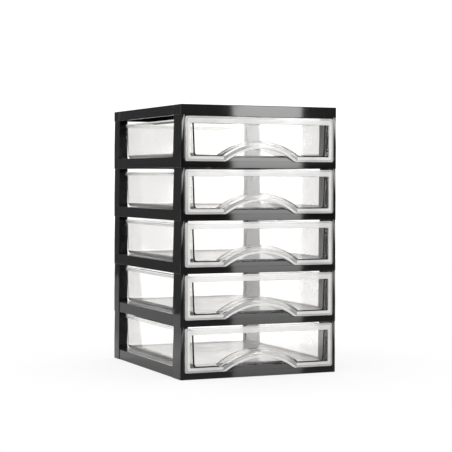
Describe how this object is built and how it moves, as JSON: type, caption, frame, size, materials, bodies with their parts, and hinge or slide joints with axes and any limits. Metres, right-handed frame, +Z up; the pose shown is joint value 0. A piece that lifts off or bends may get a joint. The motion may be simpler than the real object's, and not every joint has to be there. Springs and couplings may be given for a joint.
{
  "type": "stacking drawer tower",
  "caption": "Free-standing tower of stacked glossy black tier frames under a flat cover, with clear slide-out drawers that have an arched finger pull.",
  "frame": {"origin": "middle of the box's base, on the surface that the tower stands on", "axes": "+Z up, drawers open towards -Y, +X to the right seen from the front"},
  "size_m": [0.2084, 0.249, 0.33],
  "materials": {
    "black_plastic": "glossy injection-moulded black, fine moulding texture",
    "clear_plastic": "clear, slightly hazy injection-moulded, glossy"
  },
  "bodies": {
    "frame": {"tier_frame_1": "black_plastic", "tier_frame_2": "black_plastic", "tier_frame_3": "black_plastic", "tier_frame_4": "black_plastic", "tier_frame_5": "black_plastic", "top_cover": "black_plastic"},
    "drawer_1": {"drawer_1": "clear_plastic"},
    "drawer_2": {"drawer_2": "clear_plastic"},
    "drawer_3": {"drawer_3": "clear_plastic"},
    "drawer_4": {"drawer_4": "clear_plastic"},
    "drawer_5": {"drawer_5": "clear_plastic"}
  },
  "joints": [
    {"name": "drawer_1_slide", "type": "slide", "parent": "frame", "child": "drawer_1", "axis": [0, -1, 0], "range_m": [0, 0.185]},
    {"name": "drawer_2_slide", "type": "slide", "parent": "frame", "child": "drawer_2", "axis": [0, -1, 0], "range_m": [0, 0.185]},
    {"name": "drawer_3_slide", "type": "slide", "parent": "frame", "child": "drawer_3", "axis": [0, -1, 0], "range_m": [0, 0.185]},
    {"name": "drawer_4_slide", "type": "slide", "parent": "frame", "child": "drawer_4", "axis": [0, -1, 0], "range_m": [0, 0.185]},
    {"name": "drawer_5_slide", "type": "slide", "parent": "frame", "child": "drawer_5", "axis": [0, -1, 0], "range_m": [0, 0.185]}
  ]
}
